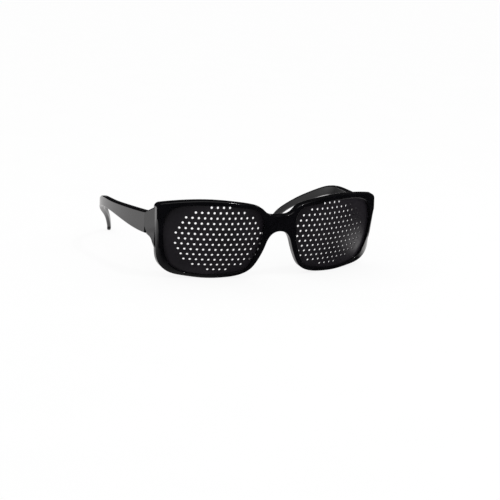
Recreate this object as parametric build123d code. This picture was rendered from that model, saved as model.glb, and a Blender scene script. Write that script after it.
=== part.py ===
from build123d import *
import math
import os

# All lengths are in millimetres. X runs across the face, Y from the lenses towards the ears, Z up.
# The front is drawn upright, with the line through the middles of the plates at zero height and the
# foremost point of the bridge at zero depth. It is then leant forward and stood on the table.
# Pieces that come in pairs are drawn for the wearer's left side, where X is positive, and mirrored.

# Front
FRONT_WIDTH = 142.4
FRONT_HEIGHT = 46.5
FRONT_DROP = 0.94
FRONT_THICKNESS = 5.2
FRONT_LEAN = 3.15
WRAP_RADIUS = 165.0
CROWN_RADIUS = 110.0
CORNER_RADIUS = 3.2
FRONT_EDGE_RADIUS = 0.9
REAR_EDGE_RADIUS = 0.7
OPENING_EDGE_RADIUS = 0.4

# Lens openings
OPENING_WIDTH = 58.8
OPENING_HEIGHT = 41.5
OPENING_CENTRE = 39.7
OPENING_DROP = 1.05

# Drilled plates, each a piece of a sphere
PLATE_RADIUS = 92.0
PLATE_CENTRE = 36.5
PLATE_DEPTH = 4.4
PLATE_TURN = 11.2
PLATE_THICKNESS = 0.7
PLATE_LAP = 1.0
PLATE_CLEARANCE = 0.06
HOLE_DIAMETER = 1.35
HOLE_PITCH = 3.6
HOLE_ROWS = (4, 9, 12, 13, 14, 15, 14, 15, 14, 13, 12, 9, 4)

# Temples
JOINT_DEPTH = 28.35
JOINT_WIDTH = 147.8
JOINT_TOP = 37.1
JOINT_HEIGHT = 12.9
JOINT_GAP = 0.1
END_RISE = 5.0
TEMPLE_LENGTH = 103.8
TEMPLE_SWEEP = 15.0
TEMPLE_THICKNESS = 5.0
TEMPLE_EDGE_RADIUS = 0.8

# Hinges
KNUCKLE_DIAMETER = 2.8
KNUCKLE_HEIGHT = 1.26
KNUCKLE_COUNT = 5
KNUCKLE_GAP = 0.05
BARREL_CLEARANCE = 0.1
LEAF_THICKNESS = 0.9
FRONT_LEAF_LENGTH = 5.4
TEMPLE_LEAF_LENGTH = 9.4
LEAF_CORNER_RADIUS = 0.6
PIVOT_DIAMETER = 1.2
PIVOT_CLEARANCE = 0.03
PIVOT_HEAD_DIAMETER = 2.0
PIVOT_HEAD_HEIGHT = 0.6
LEAF_SCREW_DIAMETER = 1.2
LEAF_SCREW_LENGTH = 3.0
LEAF_SCREW_HEAD_DIAMETER = 1.9
LEAF_SCREW_HEAD_HEIGHT = 0.5
SCREW_CLEARANCE = 0.02
SLOT_WIDTH = 0.3
SLOT_DEPTH = 0.25
BOSS_WIDTH = 7.4
BOSS_MARGIN = 1.2

# Nose pads moulded behind the rims
PAD_HEIGHT = 12.0
PAD_WIDTH = 2.7
PAD_REACH = 1.6
PAD_TILT = 24.0

# How far a cutting body runs past what it cuts
OVERRUN = 12.0

# Outline of the front as shares of its half width and half height: from the middle of the bridge's top
# to the corner, then from the corner down the side, under the rim and up to the middle of the nose arch
TOP_SHARES = ((0, 0.638), (0.078, 0.647), (0.120, 0.712), (0.160, 0.82), (0.220, 0.891), (0.35, 0.954),
              (0.55, 1.0), (0.77, 0.971), (1.0, 0.855))
SIDE_SHARES = ((1.0, 0.855), (0.999, 0.516), (0.996, 0.104), (0.988, -0.306), (0.955, -0.678),
               (0.885, -0.867), (0.76, -0.955), (0.60, -1.0), (0.44, -0.981), (0.308, -0.904),
               (0.226, -0.76), (0.171, -0.514), (0.122, -0.163), (0.090, 0.075), (0.052, 0.187), (0, 0.226))

# Outline of a lens opening as shares of its half width and half height
OPENING_SHARES = ((-0.993, 0.34), (-0.96, 0.71), (-0.86, 0.865), (-0.65, 0.935), (-0.2, 0.995),
                  (0.25, 1.0), (0.64, 0.95), (0.88, 0.80), (0.975, 0.55), (1.0, 0.10),
                  (0.965, -0.26), (0.87, -0.66), (0.70, -0.87), (0.40, -0.975), (-0.03, -1.0),
                  (-0.45, -0.935), (-0.70, -0.83), (-0.80, -0.62), (-0.905, -0.29), (-0.97, 0.03))

# Where the side of the front starts to roll back, as shares of its half height and half width
ROUNDING_SHARES = ((1.05, 1.008), (0.55, 1.004), (0.16, 0.962), (-0.3, 0.925), (-1.1, 0.86))

# Where the nose pads sit, as shares of the half width and the half height
PAD_PLACE_SHARES = (0.183, -0.42)

# The end piece from the side, as shares of its length and of the joint's height, and from the front,
# as shares of the front's half width and of the joint's height
END_BELOW_SHARES = ((1.0, 0), (0.69, -0.054), (0.41, -0.163), (0.25, -0.39), (0, -0.95))
END_FLARE_SHARES = ((1.008, -0.25), (0.985, -0.6), (0.972, -0.98))

# The temple from above: shares of its length and of its sweep along its outer face, and its thickness there
PLAN_SHARES = ((0, 0), (0.2, 0.30), (0.4, 0.467), (0.577, 0.393), (0.746, -0.013), (0.885, -0.58),
               (1.0, -0.99), (1.06, -1.18))
THICKNESS_SHARES = (1.0, 0.92, 0.78, 0.64, 0.54, 0.48, 0.46, 0.46)

# The temple from the side: shares of its length and of the joint's top height
TEMPLE_TOP_SHARES = ((0, 1.0), (0.2, 0.968), (0.4, 0.942), (0.577, 0.892), (0.662, 0.80), (0.741, 0.683),
                     (0.813, 0.555), (0.881, 0.407), (0.949, 0.235), (0.992, 0.065))
TEMPLE_BOTTOM_SHARES = ((0.958, 0.065), (0.921, 0.168), (0.858, 0.322), (0.785, 0.455), (0.709, 0.568),
                        (0.63, 0.671), (0.553, 0.737), (0.466, 0.762), (0.38, 0.76), (0.2, 0.697),
                        (0, 0.652))
TIP_SHARES = (0.975, 0)

# Places of the leaf screws, as shares of the barrel's height and of the temple leaf's free length
SCREW_SPREAD_SHARES = (-0.3, 0.3)
TEMPLE_SCREW_SHARES = (0.26, 0.74)


def sag(distance, radius):
    """How far a round of the given radius falls back at a distance from its foremost point."""
    return radius - math.sqrt(radius**2 - distance**2)


# Worked out from the sizes above
far = FRONT_WIDTH
half_width = FRONT_WIDTH / 2
half_height = FRONT_HEIGHT / 2
rim_rear = FRONT_THICKNESS + sag(half_width, WRAP_RADIUS - FRONT_THICKNESS)
opening_end = OPENING_CENTRE + OPENING_WIDTH / 2
boss_front = FRONT_THICKNESS + sag(opening_end, WRAP_RADIUS - FRONT_THICKNESS) - BOSS_MARGIN / 2
barrel_height = KNUCKLE_COUNT * KNUCKLE_HEIGHT
barrel_reach = KNUCKLE_DIAMETER / 2 + BARREL_CLEARANCE
boss_half_height = barrel_height / 2 + BOSS_MARGIN
temple_inner = JOINT_WIDTH / 2 - TEMPLE_THICKNESS
temple_start = JOINT_DEPTH + JOINT_GAP
pivot_x = temple_inner - barrel_reach
pivot_z = JOINT_TOP - JOINT_HEIGHT / 2
barrel_bottom = pivot_z - barrel_height / 2
barrel_top = pivot_z + barrel_height / 2
front_leaf_face = JOINT_DEPTH - barrel_reach


def scaled(shares, width, height):
    return [(across * width, up * height) for across, up in shares]


def front_depth(x, z):
    """Depth of the front's outer face, which wraps sideways and is crowned upwards."""
    return sag(x, WRAP_RADIUS) + sag(z, CROWN_RADIUS)


def mirrored(piece, side):
    return piece if side > 0 else mirror(piece, Plane.YZ)


def block(low, high):
    """A box between two corners."""
    size = [b - a for a, b in zip(low, high)]
    middle = [(a + b) / 2 for a, b in zip(low, high)]
    return Pos(*middle) * Box(*size)


def turned_plane(x, y, z, turn):
    """An upright plane at a point, square to a line that is turned outwards from straight ahead."""
    angle = math.radians(turn)
    across = (math.cos(angle), math.sin(angle), 0)
    forward = (math.sin(angle), -math.cos(angle), 0)
    return Plane(origin=(x, y, z), x_dir=across, z_dir=forward)


def crown_arc(depth, radius):
    """A crowned line, seen from the side, whose foremost point lies at the given depth."""
    reach = half_height + OVERRUN
    edge = depth + sag(reach, radius)
    return ThreePointArc((edge, -reach), (depth, 0), (edge, reach))


def curved_sheet():
    """The sheet that the front is cut from, wrapped sideways and crowned upwards."""
    ahead = crown_arc(0, CROWN_RADIUS)
    behind = crown_arc(FRONT_THICKNESS, CROWN_RADIUS - FRONT_THICKNESS)
    outline = [ahead, Line(ahead @ 1, behind @ 1), behind, Line(behind @ 0, ahead @ 0)]
    section = Plane.YZ * make_face(outline)
    axis = Axis((0, WRAP_RADIUS, 0), (0, 0, 1))
    half_angle = math.degrees(math.asin((half_width + OVERRUN) / WRAP_RADIUS))
    return revolve(section, axis, revolution_arc=2 * half_angle).rotate(axis, -half_angle)


def both_sides(shares):
    """Points from the right end to the left, mirrored about the first one."""
    return [(-x, z) for x, z in reversed(shares[1:])] + list(shares)


def front_outline():
    top = Spline(*scaled(both_sides(TOP_SHARES), half_width, half_height))
    below = Spline(*scaled(both_sides(tuple(reversed(SIDE_SHARES))), half_width, half_height))
    face = make_face([top, below])
    corners = face.vertices().sort_by(Axis.Y)[-2:]
    return Pos(0, -FRONT_DROP) * fillet(corners, CORNER_RADIUS)


def opening_body(lap):
    """A bar with the outline of a lens opening, or of what laps into the rim around it."""
    points = scaled(OPENING_SHARES, OPENING_WIDTH / 2 + lap, OPENING_HEIGHT / 2 + lap)
    turn = math.degrees(math.asin(OPENING_CENTRE / WRAP_RADIUS))
    plane = turned_plane(OPENING_CENTRE, sag(OPENING_CENTRE, WRAP_RADIUS), -OPENING_DROP, turn)
    return extrude(plane * make_face(Spline(*points, periodic=True)), far / 2, both=True)


def wire_edges(face, outer):
    """The edges around the outside of a face, or those around its openings."""
    wires = [face.outer_wire()] if outer else face.inner_wires()
    return [edge for wire in wires for edge in wire.edges()]


def wrapped_face(shell, place):
    """One of the wrapped faces of the front: the first is the foremost, the last the rear one."""
    return shell.faces().filter_by(GeomType.REVOLUTION).sort_by(Axis.Y)[place]


def side_rounding():
    """What is cut off the end of the front, so that its side rolls back, less and less towards the top."""
    sections = []
    for up, across in ROUNDING_SHARES:
        z = up * half_height
        x = across * half_width
        start = Vector(x, front_depth(x, z) - JOINT_GAP, z)
        end = Vector(half_width + JOINT_GAP, rim_rear, z)
        roll = Bezier(start, (end.X, start.Y + (end.X - start.X) / 2, z), end)
        beyond = end.X + OVERRUN
        ahead = start.Y - OVERRUN
        outside = Polyline(end, (beyond, end.Y, z), (beyond, ahead, z), (x, ahead, z), start)
        sections.append(make_face([roll, outside]))
    return loft(sections, ruled=True)


def nose_pad():
    """A swelling moulded behind the rim, where the front rests beside the nose."""
    swelling = scale(Sphere(PAD_REACH), (PAD_WIDTH / (2 * PAD_REACH), 1, PAD_HEIGHT / (2 * PAD_REACH)))
    x = PAD_PLACE_SHARES[0] * half_width
    z = PAD_PLACE_SHARES[1] * half_height
    return Pos(x, front_depth(x, z) + FRONT_THICKNESS, z) * Rot(0, -PAD_TILT, 0) * swelling


def front_shell():
    """The curved front with its two lens openings, its edges eased and its sides rolled back."""
    shell = curved_sheet() & extrude(Plane.XZ * front_outline(), far, both=True)
    opening = opening_body(0)
    for side in (-1, 1):
        shell -= mirrored(opening, side)
    shell = fillet(wire_edges(wrapped_face(shell, -1), True), REAR_EDGE_RADIUS)
    shell = fillet(wire_edges(wrapped_face(shell, 0), True), FRONT_EDGE_RADIUS)
    shell = fillet(wire_edges(wrapped_face(shell, 0), False), OPENING_EDGE_RADIUS)
    rounding = side_rounding()
    pad = nose_pad()
    for side in (-1, 1):
        shell = shell - mirrored(rounding, side) + mirrored(pad, side)
    return shell


def plate_plane():
    """The plane that touches a plate in the middle of its pattern of holes."""
    return turned_plane(PLATE_CENTRE, PLATE_DEPTH, 0, PLATE_TURN)


def plate_sheet(clearance):
    """A plate before it is drilled, or with a clearance the room that it takes in the rim."""
    ball = Sphere(PLATE_RADIUS + clearance) - Sphere(PLATE_RADIUS - PLATE_THICKNESS - clearance)
    return plate_plane() * Pos(0, 0, -PLATE_RADIUS) * ball & opening_body(PLATE_LAP + clearance)


def hole_places():
    """The middles of the holes, in rows that are each centred on the middle of the pattern."""
    row_pitch = HOLE_PITCH * math.sin(math.radians(60))
    middle_row = (len(HOLE_ROWS) - 1) / 2
    places = []
    for row, count in enumerate(HOLE_ROWS):
        up = (middle_row - row) * row_pitch
        for index in range(count):
            places.append(((index - (count - 1) / 2) * HOLE_PITCH, up))
    return places


def pinhole_plate():
    """The plate, drilled square to its curved face at every place."""
    drill = Cylinder(HOLE_DIAMETER / 2, 2 * OVERRUN)
    holes = []
    for across, up in hole_places():
        depth = sag(math.hypot(across, up), PLATE_RADIUS)
        square = Plane(origin=(across, up, -depth), z_dir=(across, up, PLATE_RADIUS - depth))
        holes.append(plate_plane() * square.location * drill)
    return plate_sheet(0) - holes


def end_piece():
    """What runs back from the rim to the joint of the temple."""
    start = rim_rear - FRONT_THICKNESS / 2
    length = JOINT_DEPTH - start
    bottom = JOINT_TOP - JOINT_HEIGHT
    below = Spline(*[(start + back * length, bottom + up * JOINT_HEIGHT) for back, up in END_BELOW_SHARES])
    above = Polyline(below @ 1, (start, JOINT_TOP + END_RISE), (JOINT_DEPTH, JOINT_TOP), below @ 0)
    side_view = extrude(Plane.YZ * make_face([below, above]), far)
    outer = Line((half_width - JOINT_GAP, start), (JOINT_WIDTH / 2, JOINT_DEPTH))
    around = Polyline(outer @ 1, (temple_inner, JOINT_DEPTH), (temple_inner, start), outer @ 0)
    top_view = extrude(make_face([outer, around]), far)
    piece = side_view & top_view
    long_edges = piece.edges().filter_by(lambda edge: edge.center().X > temple_inner + TEMPLE_THICKNESS / 2)
    long_edges = long_edges.filter_by(lambda edge: abs(edge.tangent_at(0.5).Y) > abs(edge.tangent_at(0.5).X))
    piece = fillet(long_edges, TEMPLE_EDGE_RADIUS)
    side = (JOINT_WIDTH / 2, JOINT_TOP - JOINT_HEIGHT / 2)
    flare = Spline(side, *[(across * half_width, bottom + up * JOINT_HEIGHT) for across, up in END_FLARE_SHARES])
    inside = Polyline(flare @ 1, (0, (flare @ 1).Y), (0, far), (side[0], far), side)
    return piece & extrude(Plane.XZ * make_face([flare, inside]), far, both=True)


def hinge_boss():
    """The block behind the rim that the front hinge leaf is screwed to."""
    low = (temple_inner + BOSS_MARGIN - BOSS_WIDTH, boss_front, pivot_z - boss_half_height)
    high = (temple_inner + BOSS_MARGIN, front_leaf_face, pivot_z + boss_half_height)
    return block(low, high)


def temple_places(shares):
    return [(temple_start + back * TEMPLE_LENGTH, up * JOINT_TOP) for back, up in shares]


def temple_top_view():
    """The temple from above, its inner line set off square from the outer one."""
    outer = []
    for back, out in PLAN_SHARES:
        outer.append(Vector(JOINT_WIDTH / 2 + out * TEMPLE_SWEEP, temple_start + back * TEMPLE_LENGTH))
    inner = [Vector(temple_inner, temple_start)]
    for index in range(1, len(outer)):
        along = (outer[min(index + 1, len(outer) - 1)] - outer[index - 1]).normalized()
        inner.append(outer[index] + Vector(-along.Y, along.X) * THICKNESS_SHARES[index] * TEMPLE_THICKNESS)
    outside = Spline(*outer)
    inside = Spline(*inner)
    return make_face([outside, Line(outside @ 1, inside @ 1), inside, Line(inside @ 0, outside @ 0)])


def temple_side_view():
    top = Spline(*temple_places(TEMPLE_TOP_SHARES))
    bottom = Spline(*temple_places(TEMPLE_BOTTOM_SHARES))
    tip = ThreePointArc(top @ 1, temple_places([TIP_SHARES])[0], bottom @ 0)
    return make_face([top, tip, bottom, Line(bottom @ 1, top @ 0)])


def temple():
    """A temple: what its views from above and from the side have in common, and a land for the hinge."""
    arm = extrude(temple_top_view(), far) & extrude(Plane.YZ * temple_side_view(), far)
    arm = fillet(arm.edges().filter_by(GeomType.BSPLINE), TEMPLE_EDGE_RADIUS)
    low = (temple_inner, temple_start, pivot_z - boss_half_height)
    high = (temple_inner + TEMPLE_THICKNESS / 2, JOINT_DEPTH + TEMPLE_LEAF_LENGTH + BOSS_MARGIN,
            pivot_z + boss_half_height)
    return arm + block(low, high) - leaf_screws(temple_screw_places(), SCREW_CLEARANCE)


def screw_body(length, diameter, head_diameter, head_height, clearance):
    """A countersunk screw pointing down, its head at zero, or with a clearance the room that it takes."""
    radius = diameter / 2 + clearance
    head = head_diameter / 2 + 2 * clearance
    tip = -length - clearance
    chamfer = diameter / 6
    points = [(0, clearance), (head, clearance), (radius, -head_height), (radius, tip + chamfer),
              (radius - chamfer, tip), (0, tip)]
    return revolve(Plane.XZ * make_face(Polyline(*points, close=True)), Axis.Z)


def slotted_screw(length, diameter, head_diameter, head_height):
    slot = block((-head_diameter, -SLOT_WIDTH / 2, -SLOT_DEPTH), (head_diameter, SLOT_WIDTH / 2, SLOT_DEPTH))
    return screw_body(length, diameter, head_diameter, head_height, 0) - slot


def leaf_screws(places, clearance=None):
    """The leaf screws at the given places, or with a clearance the room that they take."""
    sizes = (LEAF_SCREW_LENGTH, LEAF_SCREW_DIAMETER, LEAF_SCREW_HEAD_DIAMETER, LEAF_SCREW_HEAD_HEIGHT)
    one = slotted_screw(*sizes) if clearance is None else screw_body(*sizes, clearance)
    return [place * one for place in places]


def front_screw_places():
    x = pivot_x - (FRONT_LEAF_LENGTH + barrel_reach) / 2
    y = front_leaf_face + LEAF_THICKNESS
    return [Pos(x, y, pivot_z + up * barrel_height) * Rot(-90, 0, 0) for up in SCREW_SPREAD_SHARES]


def temple_screw_places():
    x = temple_inner - LEAF_THICKNESS
    first = JOINT_DEPTH + barrel_reach
    length = TEMPLE_LEAF_LENGTH - barrel_reach
    return [Pos(x, first + back * length, pivot_z) * Rot(0, -90, 0) for back in TEMPLE_SCREW_SHARES]


def leaf_knuckles(numbers):
    """The lower and upper ends of some of the knuckles, counted from the bottom, and their barrels."""
    knuckles = []
    for number in numbers:
        low = barrel_bottom + number * KNUCKLE_HEIGHT + KNUCKLE_GAP / 2
        high = low + KNUCKLE_HEIGHT - KNUCKLE_GAP
        barrel = Pos(pivot_x, JOINT_DEPTH, (low + high) / 2) * Cylinder(KNUCKLE_DIAMETER / 2, high - low)
        knuckles.append((low, high, barrel))
    return knuckles


def front_leaf():
    """The leaf on the front: a plate on the boss and every second knuckle, the outer two among them."""
    rear = front_leaf_face + LEAF_THICKNESS
    plate = block((pivot_x - FRONT_LEAF_LENGTH, front_leaf_face, barrel_bottom),
                  (pivot_x - barrel_reach, rear, barrel_top))
    leaf = fillet(plate.edges().filter_by(Axis.Y).group_by(Axis.X)[0], LEAF_CORNER_RADIUS)
    for low, high, barrel in leaf_knuckles(range(0, KNUCKLE_COUNT, 2)):
        leaf += barrel + block((pivot_x - barrel_reach, front_leaf_face, low), (pivot_x, rear, high))
    return leaf - pivot_room() - leaf_screws(front_screw_places(), SCREW_CLEARANCE)


def temple_leaf():
    """The leaf on the temple, with the knuckles between those of the front leaf."""
    side = temple_inner - LEAF_THICKNESS
    plate = block((side, JOINT_DEPTH + barrel_reach, barrel_bottom),
                  (temple_inner, JOINT_DEPTH + TEMPLE_LEAF_LENGTH, barrel_top))
    leaf = fillet(plate.edges().filter_by(Axis.X).group_by(Axis.Y)[-1], LEAF_CORNER_RADIUS)
    for low, high, barrel in leaf_knuckles(range(1, KNUCKLE_COUNT, 2)):
        leaf += barrel + block((side, JOINT_DEPTH, low), (temple_inner, JOINT_DEPTH + barrel_reach, high))
    return leaf - pivot_room() - leaf_screws(temple_screw_places(), SCREW_CLEARANCE)


def pivot_screw():
    screw = slotted_screw(barrel_height - SLOT_DEPTH, PIVOT_DIAMETER, PIVOT_HEAD_DIAMETER, PIVOT_HEAD_HEIGHT)
    return Pos(pivot_x, JOINT_DEPTH, barrel_top) * screw


def pivot_room():
    room = screw_body(barrel_height + OVERRUN, PIVOT_DIAMETER, PIVOT_HEAD_DIAMETER, PIVOT_HEAD_HEIGHT,
                      PIVOT_CLEARANCE)
    return Pos(pivot_x, JOINT_DEPTH, barrel_top) * room


shell = front_shell()
front_lift = -(Rot(FRONT_LEAN, 0, 0) * shell).bounding_box().min.Z
to_table = Pos(0, 0, front_lift) * Rot(FRONT_LEAN, 0, 0)

front = to_table * shell
end = end_piece() + hinge_boss() - leaf_screws(front_screw_places(), SCREW_CLEARANCE)
plate_room = to_table * plate_sheet(PLATE_CLEARANCE)
for side in (-1, 1):
    front = front + mirrored(end, side) - mirrored(plate_room, side)

pairs = {
    "pinhole_plate": to_table * pinhole_plate(),
    "temple": temple(),
    "front_hinge_leaf": front_leaf(),
    "temple_hinge_leaf": temple_leaf(),
    "hinge_screw": pivot_screw(),
    "front_leaf_screws": Compound(leaf_screws(front_screw_places())),
    "temple_leaf_screws": Compound(leaf_screws(temple_screw_places())),
}
pieces = {"frame_front": front}
for name, piece in pairs.items():
    pieces[name + "_left"] = piece
    pieces[name + "_right"] = mirrored(piece, -1)

middle = Compound(list(pieces.values())).bounding_box().center().Y
os.makedirs("parts", exist_ok=True)
for name, piece in pieces.items():
    export_step(Pos(0, -middle, 0) * piece, "parts/" + name + ".step")
print("pivot at", pivot_x, JOINT_DEPTH - middle, pivot_z, "bridge at", -middle, "lift", front_lift)
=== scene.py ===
"""Materials, light and camera for a pair of pinhole glasses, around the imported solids. Lengths are in metres."""
import bpy
from mathutils import Matrix, Vector

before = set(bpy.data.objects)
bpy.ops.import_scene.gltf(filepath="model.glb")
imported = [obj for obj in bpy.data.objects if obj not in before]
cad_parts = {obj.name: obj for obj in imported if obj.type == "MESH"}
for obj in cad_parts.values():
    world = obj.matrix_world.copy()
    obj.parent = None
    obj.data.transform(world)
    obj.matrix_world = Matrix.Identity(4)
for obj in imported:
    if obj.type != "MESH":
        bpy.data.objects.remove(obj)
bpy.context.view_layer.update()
scene = bpy.context.scene

# The camera, at the photograph's viewing angle and distance
CAMERA_PLACE = (-0.37881, -0.82613, 0.23862)
CAMERA_VIEW = Vector((0.41395, 0.87428, -0.25352))
CAMERA_UP = Vector((0.05685, 0.25313, 0.96576))
SENSOR_WIDTH_MM = 36
FOCAL_LENGTH_MM = 108

# Base colours, each as the two ends of its slight variation
BLACK_COLOURS = (0.0016, 0.0016, 0.0021), (0.0034, 0.0032, 0.0042)
CHARCOAL_COLOURS = (0.0105, 0.0084, 0.0120), (0.0165, 0.0135, 0.0185)
NICKEL_COLOURS = (0.60, 0.58, 0.54), (0.43, 0.41, 0.38)
STEEL_COLOURS = (0.66, 0.65, 0.63), (0.52, 0.51, 0.50)
FLOOR_COLOURS = (0.93, 0.93, 0.93), (0.96, 0.96, 0.96)
COLOUR_PLACES = 0.3, 0.7
PLASTIC_IOR = 1.5

# The floor as the camera sees it: mostly even white, so that the object's shadow stays light
FLOOR_REACH = 6.0
FLOOR_GLOW_SHARE = 0.86

# The floor's glow, which only gloss sees: painted light for the glossy plastic to mirror, though the floor is no
# lamp. It is dark before the front and glows behind it, with a glowing patch at each side. Each pair gives the
# places between which the light rises from nothing to its full strength.
BACK_Y, BACK_LIGHT = (-0.066, -0.042), 0.85
BACK_SLANT, BACK_SLANT_FROM_X = 0.2, 0.02
NEAR_PATCH_X, NEAR_PATCH_Y, NEAR_PATCH_LIGHT = (-0.06, -0.16), (-0.045, 0.01), 0.7
FAR_PATCH_X, FAR_PATCH_END_X, FAR_PATCH_Y, FAR_PATCH_LIGHT = (0.070, 0.085), (0.128, 0.116), (-0.085, -0.060), 1.6
NEAR_EDGE_X, NEAR_EDGE_Y = (-0.178, -0.155), (0.006, 0.022)
FAR_SHADE_X, FAR_SHADE_Y, FAR_SHADE_LIGHT = (0.01, -0.03), (0.09, 0.05), 0.25
FLOOR_DARK = 0.015
GLOSS_TINT = (1.0, 0.985, 0.985, 1)

# The surroundings: even light on all surfaces, and in gloss a low pale band behind the glasses and a pale patch
# overhead. The pairs are heights and distances back on the sphere of directions.
EVEN_LIGHT = 0.95
BAND_HEIGHT, BAND_BACK, BAND_LIGHT = (-0.02, 0.06), (-0.18, 0.02), 0.95
OVERHEAD_HEIGHT, OVERHEAD_LIGHT = (0.88, 0.96), 0.9
WORLD_DARK = 0.012
WHITE = (1, 1, 1, 1)

# The small lamp that makes the bright points on the upper edges
LAMP_PLACE = (0.16, -0.25, 0.62)
LAMP_TARGET = Vector((0, -0.05, 0.02))
LAMP_WIDTH = 0.05
LAMP_WATTS = 0.6


class Nodes:
    """Adds and joins the nodes of one tree."""

    def __init__(self, tree):
        tree.nodes.clear()
        self.tree = tree

    def add(self, kind, **values):
        node = self.tree.nodes.new(kind)
        for name, value in values.items():
            setattr(node, name, value)
        return node

    def feed(self, socket, value):
        """Sets a socket to a number or colour, or joins it to another node's output."""
        if hasattr(value, "is_linked"):
            self.tree.links.new(value, socket)
        else:
            socket.default_value = value

    def math(self, operation, *values):
        node = self.add("ShaderNodeMath", operation=operation)
        for socket, value in zip(node.inputs, values):
            self.feed(socket, value)
        return node.outputs[0]

    def product(self, first, *others):
        for other in others:
            first = self.math("MULTIPLY", first, other)
        return first

    def ramp(self, factor, colours):
        """The two colours of a material, by a noise that stays mostly between COLOUR_PLACES."""
        node = self.add("ShaderNodeValToRGB")
        for element, place, colour in zip(node.color_ramp.elements, COLOUR_PLACES, colours):
            element.position = place
            element.color = (*colour, 1)
        self.feed(node.inputs["Fac"], factor)
        return node.outputs["Color"]

    def noise(self, vector, scale, detail=2.0, roughness=0.5):
        node = self.add("ShaderNodeTexNoise")
        node.inputs["Scale"].default_value = scale
        node.inputs["Detail"].default_value = detail
        node.inputs["Roughness"].default_value = roughness
        self.feed(node.inputs["Vector"], vector)
        return node.outputs["Fac"]

    def fade(self, value, places=(0.0, 1.0), ends=(0.0, 1.0)):
        """Runs from the first end to the second as the value goes from the first place to the second."""
        node = self.add("ShaderNodeMapRange")
        self.feed(node.inputs["Value"], value)
        for name, number in zip(("From Min", "From Max", "To Min", "To Max"), (*places, *ends)):
            node.inputs[name].default_value = number
        return node.outputs["Result"]

    def blend(self, factor, colours):
        """A mix of two colours. A mix node has sockets for each kind of value, so the colours' ones are numbered."""
        node = self.add("ShaderNodeMix", data_type="RGBA")
        self.feed(node.inputs[0], factor)
        for socket, colour in zip(node.inputs[6:8], colours):
            socket.default_value = (*colour, 1)
        return node.outputs[2]

    def bump(self, height, strength, distance, normal=None):
        node = self.add("ShaderNodeBump")
        node.inputs["Strength"].default_value = strength
        node.inputs["Distance"].default_value = distance
        self.feed(node.inputs["Height"], height)
        if normal is not None:
            self.feed(node.inputs["Normal"], normal)
        return node.outputs["Normal"]

    def stretched(self, vector, sizes):
        node = self.add("ShaderNodeMapping")
        node.inputs["Scale"].default_value = sizes
        self.feed(node.inputs["Vector"], vector)
        return node.outputs["Vector"]

    def split(self, vector):
        node = self.add("ShaderNodeSeparateXYZ")
        self.feed(node.inputs[0], vector)
        return node.outputs

    def light(self, kind, colour, strength):
        node = self.add(kind)
        self.feed(node.inputs["Color"], colour)
        self.feed(node.inputs["Strength"], strength)
        return node.outputs[0]

    def mixed(self, factor, first, second):
        node = self.add("ShaderNodeMixShader")
        for socket, value in zip(node.inputs, (factor, first, second)):
            self.feed(socket, value)
        return node.outputs[0]

    def by_ray(self, seen, mirrored, other):
        """One shader for the camera and through the holes, one in gloss, and one for all other light."""
        path = self.add("ShaderNodeLightPath").outputs
        direct = self.math("MAXIMUM", path["Is Camera Ray"], path["Is Transmission Ray"])
        return self.mixed(path["Is Glossy Ray"], self.mixed(direct, other, seen), mirrored)


def material(name):
    made = bpy.data.materials.new(name)
    made.use_nodes = True
    tree = Nodes(made.node_tree)
    shader = tree.add("ShaderNodeBsdfPrincipled")
    tree.feed(tree.add("ShaderNodeOutputMaterial").inputs["Surface"], shader.outputs[0])
    place = tree.add("ShaderNodeTexCoord").outputs["Object"]
    return made, tree, shader.inputs, place


def glossy_black():
    """Polished injection-moulded plastic: nearly mirror smooth, with flow marks, scratches and handling haze."""
    made, tree, inputs, place = material("glossy_black_plastic")
    cloud = tree.noise(place, scale=90, detail=3)
    tree.feed(inputs["Base Color"], tree.ramp(cloud, BLACK_COLOURS))
    haze = tree.noise(place, scale=240, detail=5, roughness=0.6)
    haze = tree.fade(haze, places=(0.35, 0.75), ends=(0.05, 0.13))
    scratches = tree.noise(tree.stretched(place, (300, 2600, 2600)), scale=1)
    scratches = tree.fade(scratches, places=(0.6, 0.8), ends=(0.05, 0.15))
    tree.feed(inputs["Roughness"], tree.math("MAXIMUM", haze, scratches))
    flow = tree.bump(tree.noise(place, scale=160), strength=0.09, distance=0.00006)
    grain = tree.noise(place, scale=1900)
    tree.feed(inputs["Normal"], tree.bump(grain, strength=0.06, distance=0.00001, normal=flow))
    inputs["IOR"].default_value = PLASTIC_IOR
    return made


def satin_charcoal():
    """The plates: a satin sheet, a little purple, with a fine moulded grain that spreads its sheen."""
    made, tree, inputs, place = material("satin_charcoal_plastic")
    cloud = tree.noise(place, scale=60, detail=4)
    tree.feed(inputs["Base Color"], tree.ramp(cloud, CHARCOAL_COLOURS))
    dullness = tree.noise(place, scale=330, detail=4)
    tree.feed(inputs["Roughness"], tree.fade(dullness, places=(0.3, 0.7), ends=(0.36, 0.48)))
    grain = tree.noise(place, scale=2600, detail=3, roughness=0.6)
    tree.feed(inputs["Normal"], tree.bump(grain, strength=0.25, distance=0.00002))
    inputs["IOR"].default_value = PLASTIC_IOR
    return made


def brushed_nickel():
    """Hinge leaves, with fine brushing along their height and darker tarnish in places."""
    made, tree, inputs, place = material("brushed_nickel")
    stain = tree.fade(tree.noise(place, scale=700, detail=3), places=(0.35, 0.7))
    tree.feed(inputs["Base Color"], tree.blend(stain, NICKEL_COLOURS))
    lines = tree.noise(tree.stretched(place, (9000, 9000, 350)), scale=1, detail=3)
    tree.feed(inputs["Roughness"], tree.fade(lines, ends=(0.22, 0.42)))
    tree.feed(inputs["Normal"], tree.bump(lines, strength=0.2, distance=0.00001))
    inputs["Metallic"].default_value = 1.0
    return made


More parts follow.
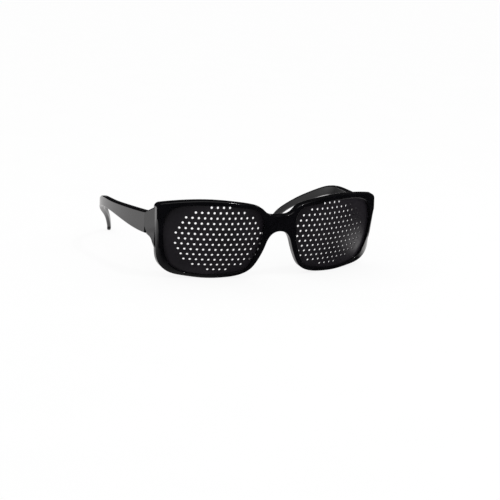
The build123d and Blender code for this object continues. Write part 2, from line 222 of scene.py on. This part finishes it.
def polished_steel():
    """The screws: turned, so their faint rings run round them."""
    made, tree, inputs, place = material("polished_steel")
    tree.feed(inputs["Base Color"], tree.blend(tree.noise(place, scale=1500), STEEL_COLOURS))
    rings = tree.noise(tree.stretched(place, (4000, 4000, 9000)), scale=1)
    tree.feed(inputs["Roughness"], tree.fade(rings, ends=(0.14, 0.28)))
    tree.feed(inputs["Normal"], tree.bump(rings, strength=0.1, distance=0.00001))
    inputs["Metallic"].default_value = 1.0
    return made


def dress_nodes():
    black, charcoal, nickel, steel = glossy_black(), satin_charcoal(), brushed_nickel(), polished_steel()
    for name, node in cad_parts.items():
        if "plate" in name:
            finish = charcoal
        elif "screw" in name:
            finish = steel
        elif "leaf" in name:
            finish = nickel
        else:
            finish = black
        if not node.material_slots:
            node.data.materials.append(finish)
        for slot in node.material_slots:
            slot.material = finish


def floor_glow_in_gloss(tree, across, back):
    """How strongly the floor glows in gloss, from the place that is mirrored: painted light seen only in
    reflections.
    """
    slant = tree.product(tree.math("MAXIMUM", across, BACK_SLANT_FROM_X), BACK_SLANT)
    behind = tree.product(tree.fade(tree.math("SUBTRACT", back, slant), BACK_Y), BACK_LIGHT)
    near = tree.product(tree.fade(across, NEAR_PATCH_X), tree.fade(back, NEAR_PATCH_Y), NEAR_PATCH_LIGHT)
    far = tree.product(tree.fade(across, FAR_PATCH_X), tree.fade(across, FAR_PATCH_END_X),
                       tree.fade(back, FAR_PATCH_Y), FAR_PATCH_LIGHT)
    light = tree.math("ADD", tree.math("ADD", behind, near), far)
    near_edge = tree.math("MAXIMUM", tree.fade(across, NEAR_EDGE_X), tree.fade(back, NEAR_EDGE_Y))
    far_shade = tree.math("MAXIMUM", tree.fade(across, FAR_SHADE_X),
                          tree.fade(back, FAR_SHADE_Y, ends=(FAR_SHADE_LIGHT, 1)))
    return tree.math("MAXIMUM", tree.product(light, near_edge, far_shade), FLOOR_DARK)


def lay_floor():
    corners = [(x * FLOOR_REACH, y * FLOOR_REACH, 0) for x, y in ((-1, -1), (1, -1), (1, 1), (-1, 1))]
    mesh = bpy.data.meshes.new("floor")
    mesh.from_pydata(corners, [], [(0, 1, 2, 3)])
    floor = bpy.data.objects.new("floor", mesh)
    scene.collection.objects.link(floor)
    paint = bpy.data.materials.new("floor_white")
    paint.use_nodes = True
    tree = Nodes(paint.node_tree)
    position = tree.add("ShaderNodeNewGeometry").outputs["Position"]
    across, back = tree.split(position)[:2]
    diffuse = tree.add("ShaderNodeBsdfDiffuse")
    tree.feed(diffuse.inputs["Color"], tree.ramp(tree.noise(position, scale=25, detail=3), FLOOR_COLOURS))
    plain = diffuse.outputs[0]
    seen = tree.mixed(FLOOR_GLOW_SHARE, plain, tree.light("ShaderNodeEmission", WHITE, 1.0))
    # The floor's glow in gloss: an emission, painted light that only the plastic's reflections show
    mirrored = tree.light("ShaderNodeEmission", GLOSS_TINT, floor_glow_in_gloss(tree, across, back))
    surface = tree.add("ShaderNodeOutputMaterial").inputs["Surface"]
    tree.feed(surface, tree.by_ray(seen, mirrored, plain))
    mesh.materials.append(paint)


def light_surroundings():
    world = bpy.data.worlds.new("studio")
    scene.world = world
    world.use_nodes = True
    tree = Nodes(world.node_tree)
    across, back, height = tree.split(tree.add("ShaderNodeTexCoord").outputs["Generated"])
    band = tree.product(tree.fade(back, BAND_BACK), tree.fade(height, BAND_HEIGHT, ends=(1, 0)), BAND_LIGHT)
    overhead = tree.product(tree.fade(height, OVERHEAD_HEIGHT), OVERHEAD_LIGHT)
    strength = tree.math("MAXIMUM", tree.math("MAXIMUM", band, overhead), WORLD_DARK)
    mirrored = tree.light("ShaderNodeBackground", GLOSS_TINT, strength)
    even = tree.light("ShaderNodeBackground", WHITE, EVEN_LIGHT)
    seen = tree.light("ShaderNodeBackground", WHITE, 1.0)
    surface = tree.add("ShaderNodeOutputWorld").inputs["Surface"]
    tree.feed(surface, tree.by_ray(seen, mirrored, even))


def hang_lamp():
    light = bpy.data.lights.new("spark", "AREA")
    light.shape = "DISK"
    light.size = LAMP_WIDTH
    light.energy = LAMP_WATTS
    lamp = bpy.data.objects.new("spark", light)
    scene.collection.objects.link(lamp)
    lamp.location = LAMP_PLACE
    lamp.rotation_euler = (LAMP_TARGET - lamp.location).to_track_quat("-Z", "Y").to_euler()


def place_camera():
    data = bpy.data.cameras.new("camera")
    data.sensor_width = SENSOR_WIDTH_MM
    data.lens = FOCAL_LENGTH_MM
    data.clip_start = 0.01
    data.clip_end = 50
    camera = bpy.data.objects.new("camera", data)
    scene.collection.objects.link(camera)
    sideways = CAMERA_VIEW.cross(CAMERA_UP).normalized()
    upright = sideways.cross(CAMERA_VIEW).normalized()
    turn = Matrix((sideways, upright, -CAMERA_VIEW.normalized())).transposed().to_4x4()
    camera.matrix_world = Matrix.Translation(CAMERA_PLACE) @ turn
    scene.camera = camera
    scene.view_settings.view_transform = "Standard"


place_camera()
dress_nodes()
lay_floor()
light_surroundings()
hang_lamp()
